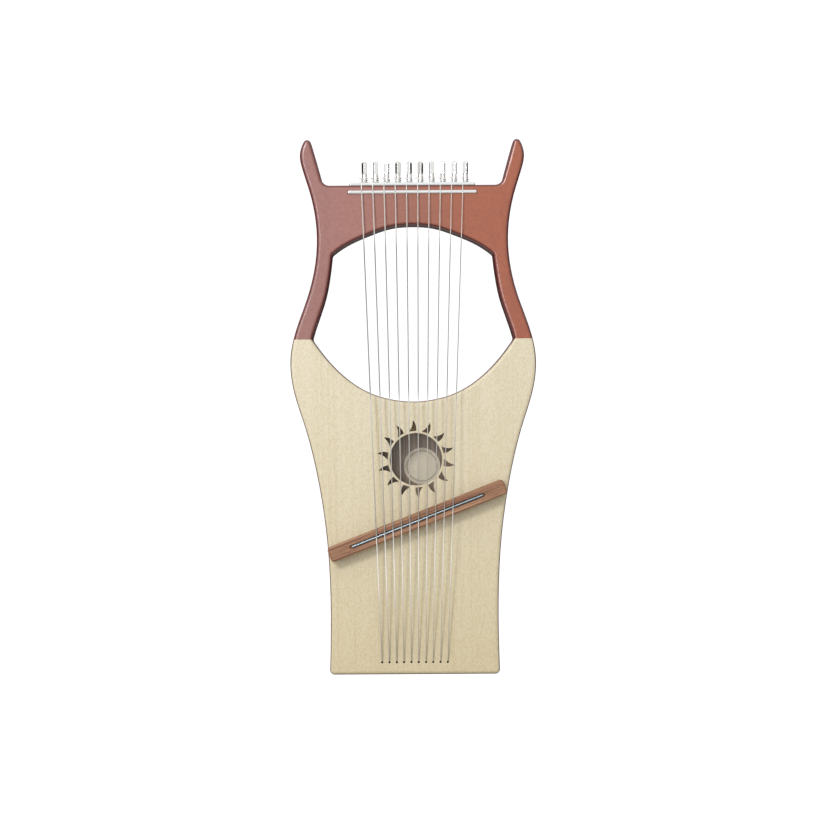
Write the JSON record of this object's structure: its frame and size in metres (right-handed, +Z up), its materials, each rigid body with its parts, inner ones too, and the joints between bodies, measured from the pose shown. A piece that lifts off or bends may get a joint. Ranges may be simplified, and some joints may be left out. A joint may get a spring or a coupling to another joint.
{
  "type": "lyre harp",
  "caption": "Wooden lyre harp with two horned arms, a shallow soundbox with a sun-shaped sound hole, a slanted bridge and turning pins that wind its strings.",
  "frame": {"origin": "centre of the flat lower end that the lyre stands on", "axes": "+Z runs up along the strings towards the horns, +X to the right seen from the strings' side, +Y out of the back"},
  "size_m": [0.2665, 0.0563, 0.5799],
  "materials": {
    "mahogany": "satin lacquer",
    "mahogany_back": "satin lacquer",
    "beech": "bare",
    "spruce": "satin lacquer",
    "spruce_inside": "bare",
    "label_paper": "plain paper",
    "bridge_wood": "oiled",
    "dark_wood": "oiled",
    "steel_rod": "polished",
    "pin_steel": "nickel plated",
    "string_steel": "drawn wire",
    "brass": "turned"
  },
  "bodies": {
    "frame": {"left_upright": "mahogany", "right_upright": "mahogany", "yoke": "mahogany", "yoke_dowels": "beech", "top_rim": "mahogany", "tail_block": "mahogany", "soundboard": "spruce", "back_plate": "mahogany_back", "front_lining": "spruce_inside", "back_lining": "spruce_inside", "upper_brace": "spruce_inside", "lower_brace": "spruce_inside", "tail_brace": "spruce_inside", "back_upper_brace": "spruce_inside", "back_lower_brace": "spruce_inside", "label": "label_paper", "bridge": "bridge_wood", "saddle_strip": "dark_wood", "saddle_rod": "steel_rod", "nut_rod": "steel_rod", "guide_rod": "steel_rod", "ball_ends": "brass", "string_01": "string_steel", "string_02": "string_steel", "string_03": "string_steel", "string_04": "string_steel", "string_05": "string_steel", "string_06": "string_steel", "string_07": "string_steel", "string_08": "string_steel", "string_09": "string_steel", "string_10": "string_steel"},
    "tuning_pin_01": {"pin_01": "pin_steel", "winding_01": "string_steel"},
    "tuning_pin_02": {"pin_02": "pin_steel", "winding_02": "string_steel"},
    "tuning_pin_03": {"pin_03": "pin_steel", "winding_03": "string_steel"},
    "tuning_pin_04": {"pin_04": "pin_steel", "winding_04": "string_steel"},
    "tuning_pin_05": {"pin_05": "pin_steel", "winding_05": "string_steel"},
    "tuning_pin_06": {"pin_06": "pin_steel", "winding_06": "string_steel"},
    "tuning_pin_07": {"pin_07": "pin_steel", "winding_07": "string_steel"},
    "tuning_pin_08": {"pin_08": "pin_steel", "winding_08": "string_steel"},
    "tuning_pin_09": {"pin_09": "pin_steel", "winding_09": "string_steel"},
    "tuning_pin_10": {"pin_10": "pin_steel", "winding_10": "string_steel"}
  },
  "joints": [
    {"name": "tuning_pin_01_turn", "type": "hinge", "parent": "frame", "child": "tuning_pin_01", "pos_m": [-0.05197, -0.004, 0.512], "axis": [0, 0, 1], "continuous": true},
    {"name": "tuning_pin_02_turn", "type": "hinge", "parent": "frame", "child": "tuning_pin_02", "pos_m": [-0.03975, -0.004, 0.512], "axis": [0, 0, 1], "continuous": true},
    {"name": "tuning_pin_03_turn", "type": "hinge", "parent": "frame", "child": "tuning_pin_03", "pos_m": [-0.02752, -0.004, 0.512], "axis": [0, 0, 1], "continuous": true},
    {"name": "tuning_pin_04_turn", "type": "hinge", "parent": "frame", "child": "tuning_pin_04", "pos_m": [-0.01529, -0.004, 0.512], "axis": [0, 0, 1], "continuous": true},
    {"name": "tuning_pin_05_turn", "type": "hinge", "parent": "frame", "child": "tuning_pin_05", "pos_m": [-0.00306, -0.004, 0.512], "axis": [0, 0, 1], "continuous": true},
    {"name": "tuning_pin_06_turn", "type": "hinge", "parent": "frame", "child": "tuning_pin_06", "pos_m": [0.00917, -0.004, 0.512], "axis": [0, 0, 1], "continuous": true},
    {"name": "tuning_pin_07_turn", "type": "hinge", "parent": "frame", "child": "tuning_pin_07", "pos_m": [0.0214, -0.004, 0.512], "axis": [0, 0, 1], "continuous": true},
    {"name": "tuning_pin_08_turn", "type": "hinge", "parent": "frame", "child": "tuning_pin_08", "pos_m": [0.03363, -0.004, 0.512], "axis": [0, 0, 1], "continuous": true},
    {"name": "tuning_pin_09_turn", "type": "hinge", "parent": "frame", "child": "tuning_pin_09", "pos_m": [0.04585, -0.004, 0.512], "axis": [0, 0, 1], "continuous": true},
    {"name": "tuning_pin_10_turn", "type": "hinge", "parent": "frame", "child": "tuning_pin_10", "pos_m": [0.05808, -0.004, 0.512], "axis": [0, 0, 1], "continuous": true}
  ]
}
